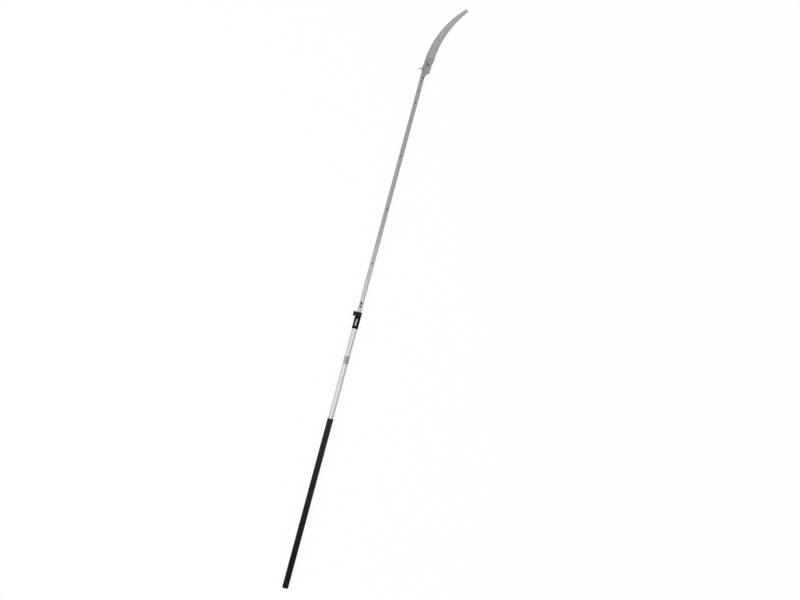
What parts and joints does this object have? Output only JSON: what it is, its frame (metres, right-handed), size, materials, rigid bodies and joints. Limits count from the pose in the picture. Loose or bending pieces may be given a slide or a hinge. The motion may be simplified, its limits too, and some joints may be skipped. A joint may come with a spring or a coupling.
{
  "type": "pole saw",
  "caption": "Telescopic pole saw: oval tubes with rubber grip, lever-and-pin lock, curved pull blade bolted between plates, and branch hook.",
  "frame": {"origin": "middle of the flat end of the butt cap", "axes": "+X along the pole towards the blade; +Y away from the teeth; +Z out through the index holes"},
  "size_m": [3.7498, 0.2076, 0.0373],
  "materials": {
    "grip_rubber": "matt black, finely mottled",
    "pale_aluminium": "pale satin",
    "grey_aluminium": "grey satin, drawn lengthwise",
    "band_film": "bare grey film",
    "bush_plastic": "moulded, unpainted",
    "lock_plastic": "black moulded, finely grained",
    "panel_plastic": "bare light panel",
    "blade_steel": "ground satin",
    "holder_steel": "dull grey plated",
    "zinc_steel": "zinc plated",
    "dark_steel": "blackened, dull"
  },
  "bodies": {
    "lower_pole": {"butt_cap": "grip_rubber", "grip_sleeve": "grip_rubber", "outer_tube": "pale_aluminium", "info_band": "band_film", "mouth_bush": "bush_plastic", "lock_body": "lock_plastic", "lock_screw_1": "zinc_steel", "lock_screw_2": "zinc_steel", "lever_pin": "zinc_steel", "rocker_pin": "zinc_steel", "rocker_spring": "zinc_steel"},
    "upper_pole": {"inner_tube": "grey_aluminium", "slide_bush": "bush_plastic", "head_core": "grey_aluminium", "tube_rivet_1": "dark_steel", "tube_rivet_2": "dark_steel", "holder_front": "holder_steel", "holder_back": "holder_steel", "holder_rivet_1": "dark_steel", "holder_rivet_2": "dark_steel", "hook_rivet": "dark_steel", "blade": "blade_steel", "blade_bolt_1": "dark_steel", "blade_bolt_2": "zinc_steel", "front_washer_1": "zinc_steel", "front_washer_2": "zinc_steel", "back_washer_1": "zinc_steel", "back_washer_2": "zinc_steel", "blade_nut_1": "zinc_steel", "blade_nut_2": "zinc_steel", "branch_hook": "holder_steel"},
    "clamp_lever": {"clamp_lever": "lock_plastic"},
    "clamp_pad": {"clamp_pad": "grip_rubber"},
    "index_rocker": {"index_rocker": "lock_plastic", "rocker_panel": "panel_plastic", "index_pin": "zinc_steel"}
  },
  "joints": [
    {"name": "telescope_slide", "type": "slide", "parent": "lower_pole", "child": "upper_pole", "axis": [1, 0, 0], "range_m": [-1.4, 0]},
    {"name": "clamp_lever_hinge", "type": "hinge", "parent": "lower_pole", "child": "clamp_lever", "pos_m": [1.6985, -0.013, 0.01341], "axis": [1, 0, 0], "range_deg": [0, 90]},
    {"name": "clamp_pad_slide", "type": "slide", "parent": "lower_pole", "child": "clamp_pad", "axis": [0, -0.5864, 0.81], "range_m": [0, 0.00036]},
    {"name": "index_rocker_hinge", "type": "hinge", "parent": "lower_pole", "child": "index_rocker", "pos_m": [1.6455, 0, 0.0178], "axis": [0, 1, 0], "range_deg": [0, 4.8]}
  ],
  "couplings": [
    {"joint": "clamp_pad_slide", "follows": "clamp_lever_hinge", "m_per_rad": 0.000223}
  ]
}
